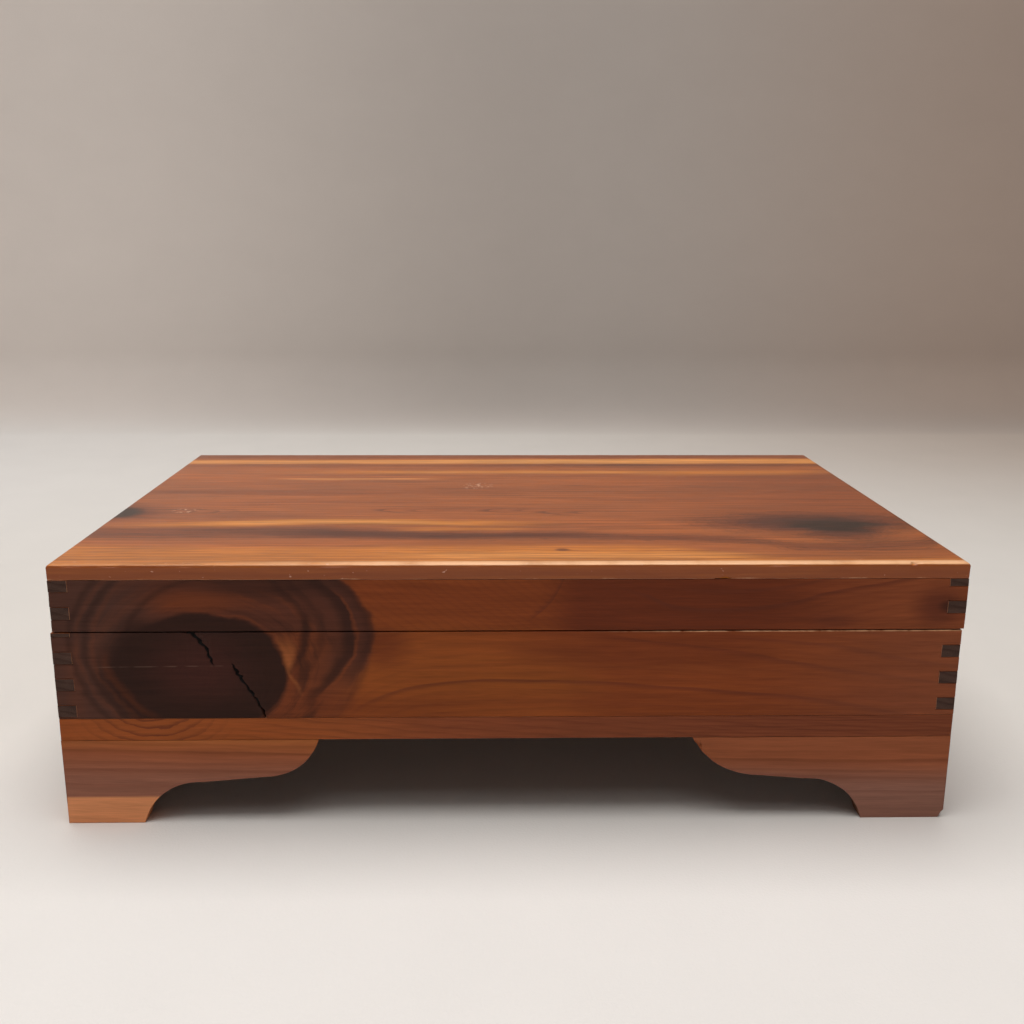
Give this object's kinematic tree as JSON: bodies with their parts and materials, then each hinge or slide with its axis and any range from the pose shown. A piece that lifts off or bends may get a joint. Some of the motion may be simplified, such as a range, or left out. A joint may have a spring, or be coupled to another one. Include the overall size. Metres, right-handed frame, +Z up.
{
  "type": "wooden keepsake box",
  "caption": "Low rectangular red cedar box with a hinged lid, finger-jointed corners, a flat overlaid top panel and scroll-cut bracket feet.",
  "frame": {"origin": "on the floor, under the middle of the box", "axes": "+X to the right along the width, front faces -Y, +Z up"},
  "size_m": [0.3056, 0.195, 0.0932],
  "materials": {
    "cedar_panel": "satin varnish over red cedar heartwood with knots and yellow sapwood streaks",
    "cedar_wall": "satin varnish over dark red cedar heartwood",
    "cedar_bottom": "satin varnish on the edges, bare cedar inside",
    "cedar_foot": "satin varnish over red cedar",
    "cedar_block": "bare cedar",
    "hinge_brass": "dull, lightly tarnished"
  },
  "bodies": {
    "base": {"base_front_board": "cedar_wall", "base_back_board": "cedar_wall", "base_left_board": "cedar_wall", "base_right_board": "cedar_wall", "bottom_board": "cedar_bottom", "foot_front_left_face": "cedar_foot", "foot_front_left_return": "cedar_foot", "foot_front_left_block": "cedar_block", "foot_front_right_face": "cedar_foot", "foot_front_right_return": "cedar_foot", "foot_front_right_block": "cedar_block", "foot_back_left_face": "cedar_foot", "foot_back_left_return": "cedar_foot", "foot_back_left_block": "cedar_block", "foot_back_right_face": "cedar_foot", "foot_back_right_return": "cedar_foot", "foot_back_right_block": "cedar_block", "hinge_left_base_leaf": "hinge_brass", "hinge_left_pin": "hinge_brass", "hinge_right_base_leaf": "hinge_brass", "hinge_right_pin": "hinge_brass", "hinge_base_brads": "hinge_brass"},
    "lid": {"lid_top_panel": "cedar_panel", "lid_front_board": "cedar_wall", "lid_back_board": "cedar_wall", "lid_left_board": "cedar_wall", "lid_right_board": "cedar_wall", "hinge_left_lid_leaf": "hinge_brass", "hinge_right_lid_leaf": "hinge_brass", "hinge_lid_brads": "hinge_brass"}
  },
  "joints": [
    {"name": "lid_hinge", "type": "hinge", "parent": "base", "child": "lid", "pos_m": [0, 0.0959, 0.0698], "axis": [-1, 0, 0], "range_deg": [0, 100]}
  ]
}
